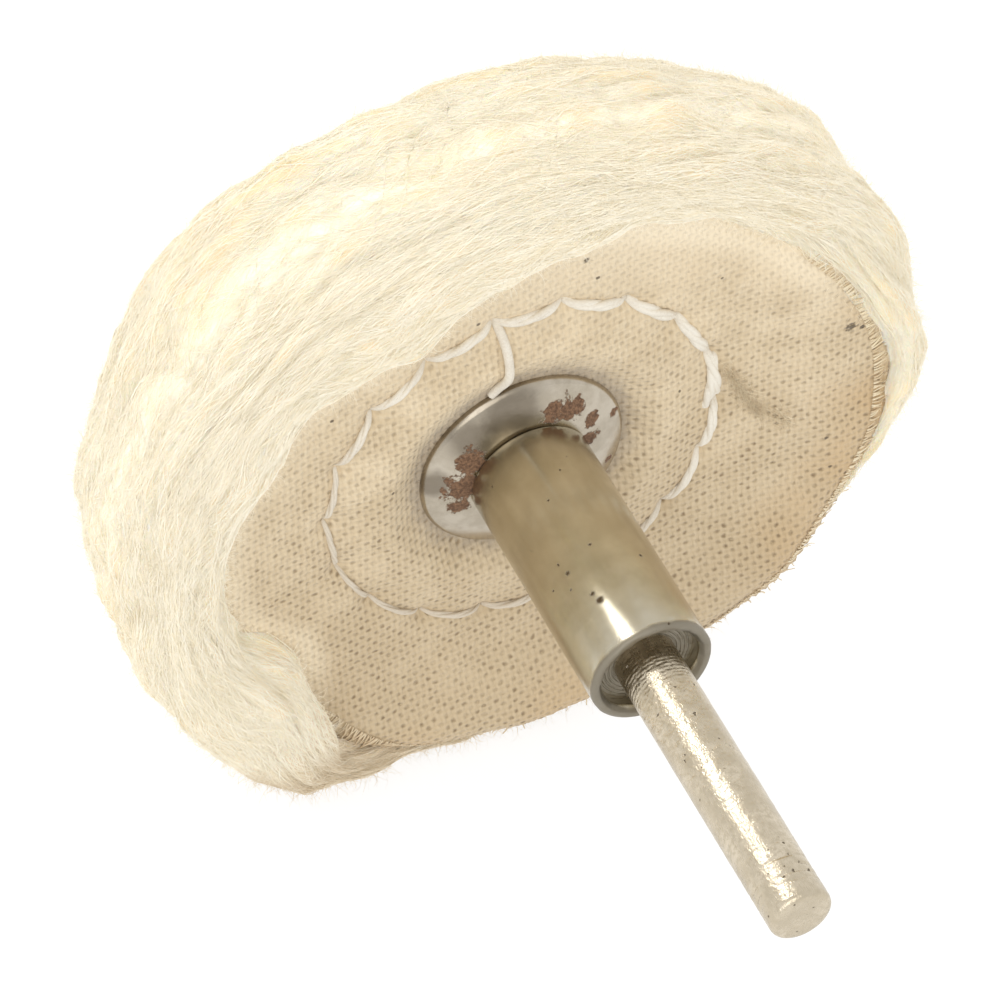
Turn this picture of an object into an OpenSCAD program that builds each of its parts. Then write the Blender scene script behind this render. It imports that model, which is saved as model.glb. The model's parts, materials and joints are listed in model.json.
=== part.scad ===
// Stitched calico polishing wheel on a steel shank.
// The axis lies along Y and the shank points to -Y. The origin is on the axis,
// where the shank leaves the hub sleeve. Millimetres.

/* [Shank and spindle] */
// Diameter of the shank, which is one rod with the spindle inside
shank_d = 6; // [3:0.5:7]
// Length of shank in front of the hub sleeve
shank_len = 30; // [15:1:50]
// Bevel at the tip of the shank
tip_bevel = 0.6; // [0.1:0.1:1]
// Diameter of the riveted head behind the back washer
head_d = 10.5; // [9:0.5:13]
// Height of the riveted head
head_h = 2.1; // [1:0.1:3]

/* [Hub sleeve] */
// Outer diameter of the sleeve
sleeve_d = 12; // [11.5:0.1:13]
// Wall thickness of the sleeve
sleeve_wall = 1.2; // [0.8:0.1:1.4]
// Length of the sleeve
sleeve_len = 26.4; // [20:0.1:40]
// Radius that rounds the sleeve's end edges
sleeve_round = 0.45; // [0.1:0.05:0.5]
// How far the shank-end bush lies inside the sleeve's mouth
recess_depth = 1.8; // [0.5:0.1:3]
// Length of each bush inside the sleeve
bush_len = 6; // [3:0.5:8]

/* [Washers] */
// Diameter of each washer
washer_d = 20.7; // [18:0.1:26]
// Thickness of the washer's sheet
washer_t = 0.8; // [0.5:0.1:1.2]
// How far the washer's rim lies below its flat middle
washer_dish = 1.5; // [0.5:0.1:1.6]
// Diameter of the washer's flat middle
washer_flat_d = 12.6; // [12.4:0.1:14]

/* [Cloth wheel] */
// Diameter of the cloth discs
wheel_d = 75; // [60:1:100]
// Number of cloth discs
ply_count = 40; // [20:1:48]
// Thickness of one disc where it is pressed in the stack
ply_t = 0.28; // [0.1:0.01:0.29]
// Thickness of the stack at the ring of stitches
stack_t = 14; // [13.5:0.5:18]
// Thickness of the wheel at its rim, where the discs fan out
rim_t = 20; // [18:0.5:26]
// How far the front disc leans towards the shank at the rim
rim_lean = 2.6; // [0:0.1:4]

/* [Stitching] */
// Radius of the ring of stitches
stitch_r = 20; // [16:0.5:24]
// Number of stitches in the ring
stitch_count = 18; // [12:1:24]
// Diameter of the sewing thread
thread_d = 0.9; // [0.5:0.05:1]
// Angle of the first needle hole, from +X towards +Z
first_hole_angle = 98; // [90:1:110]

/* [Hidden] */
fit_gap = 0.01;                 // between parts pressed together
thread_gap = 0.03;              // around the thread in its needle holes
seat_step = 0.2;                // how much thinner the rod is from the hub's mouth on
$fn = 96;
tube_fn = 32;

shank_r = shank_d / 2;
sleeve_r = sleeve_d / 2;
sleeve_bore_r = sleeve_r - sleeve_wall;
washer_r = washer_d / 2;
flat_r = washer_flat_d / 2;
wheel_r = wheel_d / 2;
seat_r = shank_r - seat_step;
hole_r = seat_r + fit_gap;
thread_r = thread_d / 2;
leg_r = thread_r * 0.8;

front_y = sleeve_len + fit_gap;                      // front of the front washer
hub_rise = 0.5;                                      // cloth under the washer's middle stands out
face_y = front_y + washer_t + hub_rise;              // front of the cloth at the stitches
back_face_y = face_y + stack_t;
back_y = back_face_y + washer_t + hub_rise;          // back of the back washer
middle_y = (face_y + back_face_y) / 2;
puff_r = washer_r + 4;                               // where the cloth has risen beside the washer
puff_h = 0.5;                                        // its swell between washer and stitches
seam_r = stitch_r - 1;                               // inner edge of the flat band under the stitches
lean_r = stitch_r + 2;                               // its outer edge, where the discs start to fan out
nickel = [0.68, 0.64, 0.54];

// Depth of the washer's front surface below its flat middle, at radius r
function dish(r) = r <= flat_r ? 0 : washer_dish * pow((r - flat_r) / (washer_r - flat_r), 1.6);
// Smooth step from 0 at a to 1 at b
function ease(a, b, r) = let (t = min(1, max(0, (r - a) / (b - a)))) t * t * (3 - 2 * t);
// How far one face of the stack stands out from its plane at the stitches, at radius r:
// shaped by the washer, swollen beside it and leaning out at the rim
function under_washer(r) = hub_rise - dish(min(r, washer_r)) - 2 * fit_gap;
function cloth_out(r, lean) =
    let (inner = under_washer(r))
    inner * (1 - ease(washer_r, puff_r, r))
    + puff_h * ease(washer_r, puff_r, r) * (1 - ease(puff_r, seam_r, r))
    + lean * ease(lean_r, wheel_r, r);
function front_of_cloth(r) = face_y - cloth_out(r, rim_lean);
function back_of_cloth(r) = back_face_y + cloth_out(r, rim_t - stack_t - rim_lean);
// Middle surface of disc i, counted from the front
function ply_y(i, r) =
    let (t = (i - 0.5) / ply_count)
    front_of_cloth(r) * (1 - t) + back_of_cloth(r) * t;
function stitch_angle(k) = first_hole_angle + k * 360 / stitch_count;

ply_radii = concat(
    [hole_r, flat_r, flat_r + 1.4, flat_r + 2.8],
    [washer_r, washer_r + 1, washer_r + 2, washer_r + 3, puff_r],
    [(puff_r + seam_r) / 2, seam_r, lean_r],
    [for (k = [1:5]) lean_r + (wheel_r - lean_r) * k / 5]);
washer_radii = [for (k = [0:8]) flat_r + (washer_r - flat_r) * k / 8];

function two_digits(i) = i < 10 ? str("0", i) : str(i);
function ply_name(i) = str("ply_", two_digits(i));

// Turns a profile of [radius, y] points about the Y axis
module turned(points) {
    rotate([-90, 0, 0])
        rotate_extrude()
            polygon(points);
}

// Rod from the tip of the shank to the riveted head behind the wheel
module spindle() {
    head_r = head_d / 2;
    head_y = back_y + fit_gap;
    dome = [for (k = [0:6]) let (a = 15 * k) [head_r * cos(a), head_y + 0.4 + (head_h - 0.4) * sin(a)]];
    color(nickel)
        turned(concat(
            [[0, -shank_len], [shank_r - tip_bevel, -shank_len], [shank_r, -shank_len + tip_bevel]],
            [[shank_r, 0], [seat_r, 0], [seat_r, head_y], [head_r, head_y]],
            dome));
}

// Tube over the spindle, with rounded end edges
module hub_sleeve() {
    e = sleeve_round;
    corner = [for (k = [0:4]) let (a = 22.5 * k) [1 - cos(a), 1 - sin(a)]];
    outer_front = [for (k = [4:-1:0]) [sleeve_r - e * corner[k][0], e * corner[k][1]]];
    outer_back = [for (k = [0:4]) [sleeve_r - e * corner[k][0], sleeve_len - e * corner[k][1]]];
    color(nickel)
        turned(concat(
            [[sleeve_bore_r, 0.3], [sleeve_bore_r + 0.3, 0]],
            outer_front,
            outer_back,
            [[sleeve_bore_r, sleeve_len]]));
}

// Ring between spindle and sleeve, with turning grooves on the face at y
module bush(y, outward) {
    groove_r = 0.11;
    outer = sleeve_bore_r - fit_gap;
    color("gray")
        difference() {
            turned([[hole_r, y], [outer, y], [outer, y + outward * bush_len], [hole_r, y + outward * bush_len]]);
            for (k = [1:4])
                translate([0, y, 0])
                    rotate([-90, 0, 0])
                        rotate_extrude()
                            translate([hole_r + k * (outer - hole_r) / 5, 0])
                                circle(r = groove_r, $fn = 16);
        }
}

module shank_bush() {
    bush(recess_depth, 1);
}

module wheel_bush() {
    bush(sleeve_len - fit_gap, -1);
}

// Dished washer whose flat middle is at y and whose rim is turned towards the cloth
module washer(y, inward) {
    outside = [for (r = washer_radii) [r, y + inward * dish(r)]];
    inside = [for (r = washer_radii) [r, y + inward * (dish(r) + washer_t)]];
    count = len(washer_radii);
    color("silver")
        turned(concat(
            [[hole_r, y]],
            outside,
            [for (k = [count - 1:-1:0]) inside[k]],
            [[hole_r, y + inward * washer_t]]));
}

module front_washer() {
    washer(front_y, 1);
}

module back_washer() {
    washer(back_y, -1);
}

// The needle holes, right through the stack
module needle_holes() {
    for (k = [0:stitch_count - 1])
        rotate([0, -stitch_angle(k), 0])
            translate([stitch_r, face_y - 1, 0])
                rotate([-90, 0, 0])
                    cylinder(h = stack_t + 2, r = leg_r + thread_gap, $fn = tube_fn);
}

// Cloth disc i, pressed flat under the washers and fanned out at the rim
module ply(i) {
    near = [for (r = ply_radii) [r, ply_y(i, r) - ply_t / 2]];
    far = [for (r = ply_radii) [r, ply_y(i, r) + ply_t / 2]];
    count = len(ply_radii);
    color(i % 2 == 0 ? "wheat" : "cornsilk")
        difference() {
            turned(concat(near, [for (k = [count - 1:-1:0]) far[k]]));
            needle_holes();
        }
}

// One thread of the lockstitch: the ring of stitches that lies at surface_y, and the legs
// that reach through the stack to leg_end, where the two threads hold each other
module lockstitch(surface_y, leg_end) {
    turned_ring(stitch_r, surface_y);
    for (k = [0:stitch_count - 1])
        rotate([0, -stitch_angle(k), 0])
            translate([stitch_r, min(surface_y, leg_end), 0])
                rotate([-90, 0, 0])
                    cylinder(h = abs(leg_end - surface_y), r = leg_r, $fn = tube_fn);
}

// A ring of thread around the axis
module turned_ring(ring_r, y) {
    translate([0, y, 0])
        rotate([-90, 0, 0])
            rotate_extrude()
                translate([ring_r, 0])
                    circle(r = thread_r, $fn = tube_fn);
}

module needle_thread() {
    color("white")
        lockstitch(face_y - thread_r - thread_gap, middle_y - thread_gap);
}

module bobbin_thread() {
    color("white")
        lockstitch(back_face_y + thread_r + thread_gap, middle_y + thread_gap);
}

spindle();
hub_sleeve();
shank_bush();
wheel_bush();
front_washer();
back_washer();
for (i = [1:ply_count]) ply(i);
needle_thread();
bobbin_thread();
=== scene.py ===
import json
import math
import bpy
import numpy as np
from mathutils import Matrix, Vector


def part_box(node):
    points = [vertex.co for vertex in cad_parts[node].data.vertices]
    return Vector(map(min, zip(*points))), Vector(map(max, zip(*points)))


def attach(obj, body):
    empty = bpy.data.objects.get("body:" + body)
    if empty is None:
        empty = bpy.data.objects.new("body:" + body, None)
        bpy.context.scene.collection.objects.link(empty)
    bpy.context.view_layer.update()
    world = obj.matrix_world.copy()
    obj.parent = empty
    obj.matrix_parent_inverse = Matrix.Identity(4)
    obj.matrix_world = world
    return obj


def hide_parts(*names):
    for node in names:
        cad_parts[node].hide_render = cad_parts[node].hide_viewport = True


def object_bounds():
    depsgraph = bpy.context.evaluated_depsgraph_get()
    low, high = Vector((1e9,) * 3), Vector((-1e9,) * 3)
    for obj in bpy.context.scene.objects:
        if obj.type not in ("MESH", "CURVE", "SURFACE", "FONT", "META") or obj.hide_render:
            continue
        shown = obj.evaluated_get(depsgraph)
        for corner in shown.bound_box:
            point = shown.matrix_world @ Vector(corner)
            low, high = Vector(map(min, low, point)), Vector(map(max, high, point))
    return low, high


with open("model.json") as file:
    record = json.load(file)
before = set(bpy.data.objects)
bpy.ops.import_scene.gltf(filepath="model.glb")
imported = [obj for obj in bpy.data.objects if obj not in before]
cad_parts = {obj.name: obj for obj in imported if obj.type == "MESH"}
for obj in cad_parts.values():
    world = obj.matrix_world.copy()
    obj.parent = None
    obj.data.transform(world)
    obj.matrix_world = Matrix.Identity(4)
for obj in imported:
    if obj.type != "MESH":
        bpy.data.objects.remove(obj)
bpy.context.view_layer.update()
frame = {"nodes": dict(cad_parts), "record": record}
mm = 0.001


def edges(node):
    # lowest and highest corner of a node, in millimetres
    low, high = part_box(node)
    return [v / mm for v in low], [v / mm for v in high]


# sizes that come from the frame, in millimetres
shankRadius = frame["record"]["mounts"][0]["dims"]["r_mm"]
tipY = edges("spindle")[0][1]
headRadius, headEndY = edges("spindle")[1][:2]
sleeveRadius, sleeveEndY = edges("hub_sleeve")[1][:2]
recessY = edges("shank_bush")[0][1]
boreRadius = edges("shank_bush")[1][0]
washerRadius = edges("front_washer")[1][0]
washerFrontY = edges("front_washer")[0][1]
washerBackY = edges("back_washer")[1][1]
wheelRadius = edges("ply_01")[1][0]
plyNames = sorted(name for name in frame["nodes"] if name.startswith("ply_"))

# the cloth's own shape, as the frame's plies have it
cloth = {
    "washerThickness": 0.8,
    "washerDish": 1.5,
    "flatRadius": 6.3,
    "hubRise": 0.5,
    "puffRadius": washerRadius + 4,
    "puffHeight": 0.5,
    "seamRadius": 20.0,
    "firstHole": 98,       # degrees from +X towards +Z
    "stitches": 18,
    "plyThickness": 0.28,
    "backLean": 1.6,
    "weavePitch": 0.65,
    "curlFrom": 33.5,        # radii between which a disc's edge bends back
    "curlTo": 38.8,
    "ribs": 205,             # folded threads round the bent edge
    "ribHeight": 0.16,
    "nearDiscs": 7,          # discs whose edges show from the front
    "backEdge": 32.8,
    "innerEdge": 35.5,
}
seamRadius = cloth["seamRadius"]
faceY = washerFrontY + cloth["washerThickness"] + cloth["hubRise"]
backFaceY = washerBackY - cloth["washerThickness"] - cloth["hubRise"]


def ease(low, high, value):
    t = np.clip((np.asarray(value, float) - low) / (high - low), 0, 1)
    return t * t * (3 - 2 * t)


def latticeValue(x, y, z, seed):
    # the same pseudo-random value from -1 to 1 for the same whole numbers
    mask = 0xFFFFFFFF
    h = (x * 374761393 + y * 668265263 + z * 1274126177 + seed * 974634777) & mask
    h = ((h ^ (h >> 13)) * 1103515245) & mask
    h = ((h ^ (h >> 16)) * 669530117) & mask
    return (h ^ (h >> 15)) / (mask / 2) - 1


def softNoise(x, y, z, seed=0):
    places = [np.asarray(v, float) for v in np.broadcast_arrays(x, y, z)]
    cells = [np.floor(v).astype(np.int64) for v in places]
    parts = [p - c for p, c in zip(places, cells)]
    blends = [p * p * p * (p * (p * 6 - 15) + 10) for p in parts]
    total = 0
    for corner in range(8):
        step = [corner & 1, corner >> 1 & 1, corner >> 2 & 1]
        weight = 1
        for blend, up in zip(blends, step):
            weight = weight * (blend if up else 1 - blend)
        total = total + weight * latticeValue(*(c + s for c, s in zip(cells, step)), seed)
    return total


def ringCurve(table, blur=9):
    # a smooth closed curve through values given at angles in degrees
    angles = np.arange(360)
    values = np.interp(angles, list(table), list(table.values()), period=360)
    window = np.hanning(2 * blur + 1)
    padded = np.concatenate([values[-blur:], values, values[:blur]])
    values = np.convolve(padded, window / window.sum(), "valid")
    return lambda theta: np.interp(np.degrees(theta), angles, values, period=360)


def dish(r):
    flat = cloth["flatRadius"]
    depth = (np.maximum(r, flat) - flat) / (washerRadius - flat)
    return cloth["washerDish"] * depth ** 1.6


def clothOut(r, lean):
    # how far a face of the stack stands out from its plane at the seam
    puffed = ease(washerRadius, cloth["puffRadius"], r)
    under = cloth["hubRise"] - dish(np.minimum(r, washerRadius)) - 0.02
    swell = cloth["puffHeight"] * puffed * (1 - ease(cloth["puffRadius"], seamRadius - 1, r))
    return under * (1 - puffed) + swell + lean * ease(seamRadius + 2, wheelRadius, r)


def gridQuads(rows, columns, closeRows=False, closeColumns=False):
    a = np.arange(rows if closeRows else rows - 1)[:, None]
    b = np.arange(columns if closeColumns else columns - 1)[None, :]
    c, d = (a + 1) % rows, (b + 1) % columns
    quads = np.stack([a * columns + b, a * columns + d, c * columns + d, c * columns + b], -1)
    return quads.reshape(-1, 4)


def makePiece(name, points, quads, triangles=(), attributes=None):
    # points in millimetres; attributes are per point, numbers or vectors
    mesh = bpy.data.meshes.new(name)
    points = np.asarray(points, float).reshape(-1, 3)
    quads = np.asarray(quads, int).reshape(-1, 4)
    triangles = np.asarray(triangles, int).reshape(-1, 3)
    mesh.vertices.add(len(points))
    mesh.vertices.foreach_set("co", (points * mm).ravel())
    corners = np.concatenate([quads.ravel(), triangles.ravel()])
    sizes = np.concatenate([np.full(len(quads), 4), np.full(len(triangles), 3)])
    mesh.loops.add(len(corners))
    mesh.loops.foreach_set("vertex_index", corners)
    mesh.polygons.add(len(sizes))
    mesh.polygons.foreach_set("loop_start", np.concatenate([[0], np.cumsum(sizes)[:-1]]))
    mesh.polygons.foreach_set("loop_total", sizes)
    mesh.polygons.foreach_set("use_smooth", np.full(len(sizes), True))
    mesh.update(calc_edges=True)
    mesh.validate()
    for key, values in (attributes or {}).items():
        values = np.asarray(values, float).reshape(len(points), -1)
        kind = "FLOAT" if values.shape[1] == 1 else "FLOAT_VECTOR"
        store = mesh.attributes.new(key, kind, "POINT")
        store.data.foreach_set("value" if kind == "FLOAT" else "vector", values.ravel())
    piece = bpy.data.objects.new(name, mesh)
    bpy.context.scene.collection.objects.link(piece)
    return piece


def place(piece, finish, slot, *nodes):
    # every piece rides on the one body, takes a finish and may stand for nodes
    piece.data.materials.append(finish)
    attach(piece, "root")
    if nodes:
        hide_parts(*nodes)
    return piece


def around(radius, theta, y):
    radius, theta, y = np.broadcast_arrays(radius, theta, y)
    return np.stack([radius * np.cos(theta), y, radius * np.sin(theta)], -1)


def fullTurn(count):
    return np.linspace(0, 2 * math.pi, count, endpoint=False)


def turnedGrid(profile, columns, ripple):
    # points of a (radius, y) profile turned about the axis, and their y alone
    profile = np.asarray(profile, float)
    theta = fullTurn(columns)[None, :]
    radius, y = np.repeat(profile[:, :1], columns, 1), np.repeat(profile[:, 1:], columns, 1)
    radius, y = ripple(radius, y, theta)
    return around(radius, theta, y), y


def turned(name, profile, columns, ripple):
    # a closed profile
    points, _ = turnedGrid(profile, columns, ripple)
    quads = gridQuads(len(profile), columns, closeRows=True, closeColumns=True)
    return makePiece(name, points, quads[:, ::-1])


def turnedSolid(name, profile, columns, ripple):
    # an open profile that starts and ends near the axis, closed there by fans
    points, y = turnedGrid(profile, columns, ripple)
    points = points.reshape(-1, 3)
    ends = np.array([[0, y[0].mean(), 0], [0, y[-1].mean(), 0]])
    quads = gridQuads(len(profile), columns, closeColumns=True)
    k = np.arange(columns)
    after, last, count = (k + 1) % columns, (len(profile) - 1) * columns, len(points)
    fans = np.concatenate([
        np.stack([np.full(columns, count), after, k], -1),
        np.stack([np.full(columns, count + 1), last + k, last + after], -1)])
    return makePiece(name, np.concatenate([points, ends]), quads[:, ::-1], fans[:, ::-1])


def strands(name, paths, radii, sides=3, tone=None):
    # capped tubes along paths[strand, point, xyz] with radii[strand, point]
    count, steps = paths.shape[:2]
    ahead = np.gradient(paths, axis=1)
    ahead /= np.linalg.norm(ahead, axis=-1, keepdims=True) + 1e-9
    helper = np.where(np.abs(ahead[..., 1:2]) < 0.8, [[[0.0, 1.0, 0.0]]], [[[1.0, 0.0, 0.0]]])
    across = np.cross(ahead, helper)
    across /= np.linalg.norm(across, axis=-1, keepdims=True) + 1e-9
    beyond = np.cross(across, ahead)
    turn = fullTurn(sides)
    ring = across[:, :, None] * np.cos(turn)[:, None] + beyond[:, :, None] * np.sin(turn)[:, None]
    points = paths[:, :, None] + ring * radii[:, :, None, None]
    firsts = (np.arange(count) * steps * sides)[:, None, None]
    quads = gridQuads(steps, sides, closeColumns=True)[None] + firsts
    fan = np.array([[0, k + 1, k] for k in range(1, sides - 1)])
    triangles = np.concatenate([fan, fan[:, ::-1] + (steps - 1) * sides])[None] + firsts
    attributes = None if tone is None else {"tone": np.repeat(tone, steps * sides)}
    return makePiece(name, points, quads, triangles, attributes)


class Wire:
    # an output socket whose arithmetic adds Math nodes
    def __init__(self, finish, socket):
        self.finish, self.socket = finish, socket

    def __add__(self, other):
        return self.finish.math("ADD", self, other)

    def __radd__(self, other):
        return self.finish.math("ADD", other, self)

    def __sub__(self, other):
        return self.finish.math("SUBTRACT", self, other)

    def __rsub__(self, other):
        return self.finish.math("SUBTRACT", other, self)

    def __mul__(self, other):
        return self.finish.math("MULTIPLY", self, other)

    def __rmul__(self, other):
        return self.finish.math("MULTIPLY", other, self)

    def __truediv__(self, other):
        return self.finish.math("DIVIDE", self, other)


class Finish:
    def __init__(self, name):
        self.material = bpy.data.materials.new(name)
        self.material.use_nodes = True
        self.tree = self.material.node_tree
        self.shader = self.tree.nodes["Principled BSDF"]

    def node(self, kind, settings=None, inputs=None, output=0):
        made = self.tree.nodes.new(kind)
        for key, value in (settings or {}).items():
            setattr(made, key, value)
        for key, value in (inputs or {}).items():
            self.join(made.inputs[key], value)
        return Wire(self, made.outputs[output])

    def join(self, socket, value):
        if isinstance(value, Wire):
            self.tree.links.new(value.socket, socket)
        else:
            socket.default_value = value

    def set(self, inputs):
        for key, value in inputs.items():
            self.join(self.shader.inputs[key], value)

    def math(self, operation, *values):
        return self.node("ShaderNodeMath", {"operation": operation}, dict(enumerate(values)))

    def split(self, vector):
        return [self.node("ShaderNodeSeparateXYZ", None, {0: vector}, axis) for axis in "XYZ"]

    def noise(self, vector, scale, detail=3, roughness=0.55):
        inputs = {"Vector": vector, "Scale": scale, "Detail": detail, "Roughness": roughness}
        return self.node("ShaderNodeTexNoise", None, inputs)

    def scaled(self, vector, x, y, z):
        return self.node("ShaderNodeMapping", None, {"Vector": vector, "Scale": (x, y, z)})

    def far(self, vector, spot):
        return self.node("ShaderNodeVectorMath", {"operation": "DISTANCE"}, {0: vector, 1: spot}, 1)

    def blend(self, factor, a, b):
        return self.node("ShaderNodeMix", {"data_type": "RGBA"}, {0: factor, 6: a, 7: b}, 2)

    def steps(self, value, low, high):
        # 0 below low, 1 above high, smooth between them
        settings = {"interpolation_type": "SMOOTHSTEP"}
        return self.node("ShaderNodeMapRange", settings, {0: value, 1: low, 2: high, 3: 0.0, 4: 1.0})

    def bump(self, height, distance, strength):
        inputs = {"Height": height, "Distance": distance, "Strength": strength}
        self.set({"Normal": self.node("ShaderNodeBump", None, inputs)})

    def spot(self):
        # object coordinates in millimetres
        metres = self.node("ShaderNodeTexCoord", None, None, "Object")
        return self.scaled(metres, 1 / mm, 1 / mm, 1 / mm)

    def stored(self, name, output="Vector"):
        return self.node("ShaderNodeAttribute", {"attribute_name": name}, None, output)


def plainWeave(finish, flat, pitch):
    # yarn height from 0 to 1, and the holes between yarns, from cloth coordinates in millimetres
    wander, jitter = 0.88, 0.7
    u, v, _ = finish.split(flat)
    u = u / pitch + (finish.noise(flat, 0.33, 1) - 0.5) * wander
    v = v / pitch + (finish.noise(finish.scaled(flat, 1.0, -1.0, 1.0), 0.27, 1) - 0.5) * wander
    column, row = finish.math("FLOOR", u), finish.math("FLOOR", v)
    acrossU = (u - column - 0.5) * 2
    acrossV = (v - row - 0.5) * 2
    warp = 1 - acrossU * acrossU
    weft = 1 - acrossV * acrossV
    warpLift = finish.math("COSINE", (v - 0.5 + column) * math.pi) * 0.5 + 0.5
    weftLift = finish.math("COSINE", (u + 0.5 + row) * math.pi) * 0.5 + 0.5
    height = finish.math("MAXIMUM", warp * warpLift, weft * weftLift * 0.6)
    nearU, nearV = finish.math("ROUND", u), finish.math("ROUND", v)
    offU = u - nearU + (finish.noise(flat, 1.3, 1) - 0.5) * jitter
    offV = v - nearV + (finish.noise(finish.scaled(flat, -1.0, 1.0, 1.0), 1.1, 1) - 0.5) * jitter
    away = finish.math("SQRT", offU * offU + offV * offV)
    odd = finish.math("PINGPONG", nearU + nearV, 1.0)
    holes = (1 - finish.steps(away, 0.06, 0.54)) * (1 - odd * 0.86)
    return height, holes


def rgb(red, green, blue):
    return (red, green, blue, 1.0)


rod = {
    "ringPitch": 0.42,       # turning marks beside the hub
    "ringDepth": 0.022,
    "ringsFrom": -5.0,
    "nicks": [(-23.6, 0.07), (-25.3, 0.12), (-26.2, 0.15), (-27.1, 0.12), (-27.9, 0.06)],
    "bevel": 0.6,
    "dents": 0.016,          # shallow hammer marks all along
}


def rodRipple(radius, y, theta):
    body = (radius > shankRadius - 0.1) & (radius < shankRadius + 0.1) & (y < recessY)
    rings = (0.5 - 0.5 * np.cos(2 * math.pi * y / rod["ringPitch"])) * rod["ringDepth"]
    worn = rings * ease(rod["ringsFrom"], rod["ringsFrom"] + 2.5, y)
    for nickY, depth in rod["nicks"]:
        side = 0.5 + 0.5 * softNoise(np.cos(theta) * 1.6, np.sin(theta) * 1.6, nickY)
        worn = worn + depth * side * np.exp(-((y - nickY) / 0.14) ** 2)
    worn = worn + rod["dents"] * softNoise(np.cos(theta) * 5, y * 1.4, np.sin(theta) * 5, 3)
    worn = worn + rod["dents"] * 0.6 * softNoise(np.cos(theta) * 11, y * 3.4, np.sin(theta) * 11, 4)
    hammered = 0.12 * softNoise(np.cos(theta) * radius * 0.8, y, np.sin(theta) * radius * 0.8, 5)
    behind = y > washerBackY + 0.3
    return radius - np.where(body, worn, 0), y + np.where(behind, hammered, 0)


def rodProfile():
    bevel = rod["bevel"]
    tip = [(r, tipY) for r in (0.4, 1.2, 1.9)]
    for k in range(5):
        a = k / 4 * math.pi / 2
        inset, rise = bevel * (1 - math.sin(a)) * 0.85, bevel * (1 - math.cos(a))
        tip.append((shankRadius - inset, tipY + rise))
    body = [(shankRadius, y) for y in np.arange(tipY + bevel + 0.1, recessY, 0.09)]
    inside = [(shankRadius - 0.05, recessY + 0.1), (shankRadius - 0.05, washerBackY)]
    headTop = headEndY - washerBackY
    dome = [(headRadius * math.cos(a), washerBackY + 0.4 + (headTop - 0.4) * math.sin(a))
            for a in np.linspace(0, 1.45, 12)]
    return tip + body + inside + [(headRadius, washerBackY + 0.02)] + dome


sleeve = {"round": 0.42, "wave": 0.015, "mouthRough": 0.05}


def sleeveRipple(radius, y, theta):
    dent = softNoise(np.cos(theta) * 1.3, y * 0.12, np.sin(theta) * 1.3, 11) * sleeve["wave"]
    rough = softNoise(np.cos(theta) * 9, radius * 2.5, np.sin(theta) * 9, 12) * sleeve["mouthRough"]
    atMouth = 1 - ease(0.3, 0.8, y)
    return radius + np.where(radius > boreRadius + 0.2, dent, 0) + rough * atMouth, y + rough * atMouth


def sleeveProfile():
    e = sleeve["round"]
    arc = [(math.sin(a), 1 - math.cos(a)) for a in np.linspace(0, math.pi / 2, 7)]
    mouth = [(sleeveRadius - e + e * s, e * c) for s, c in arc]
    base = [(sleeveRadius - e + e * s, sleeveEndY - e * c) for s, c in reversed(arc)]
    wall = [(sleeveRadius, y) for y in np.linspace(e + 0.4, sleeveEndY - e - 0.4, 60)]
    lip = [(boreRadius + out, y) for out, y in ((0.03, 0.72), (0.14, 0.5), (0.42, 0.16), (0.5, 0.04))]
    bore = [(boreRadius, y) for y in np.linspace(sleeveEndY, 0.85, 8)]
    return mouth + wall + base + bore + lip


def washerProfile(frontY, inward):
    roll, thick = 0.25, cloth["washerThickness"]
    edge = washerRadius - roll
    radii = np.concatenate([[shankRadius + 0.02, 4.5], np.linspace(cloth["flatRadius"], edge, 22)])
    outside = [(r, frontY + inward * dish(r)) for r in radii]
    turns = np.linspace(0.5, math.pi - 0.3, 7)
    depths = dish(washerRadius) + 0.02 + thick * (0.5 - 0.5 * np.cos(turns))
    rolled = [(edge + roll * math.sin(a), frontY + inward * depth) for a, depth in zip(turns, depths)]
    inside = [(r, frontY + inward * (dish(r) + thick)) for r in radii[::-1]]
    profile = outside + rolled + inside
    return profile if inward > 0 else profile[::-1]


def washerRipple(radius, y, theta):
    uneven = softNoise(np.cos(theta) * 1.5, 0.3, np.sin(theta) * 1.5, 21) * 0.07
    return radius, y + uneven * ease(cloth["flatRadius"], washerRadius, radius)


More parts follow.
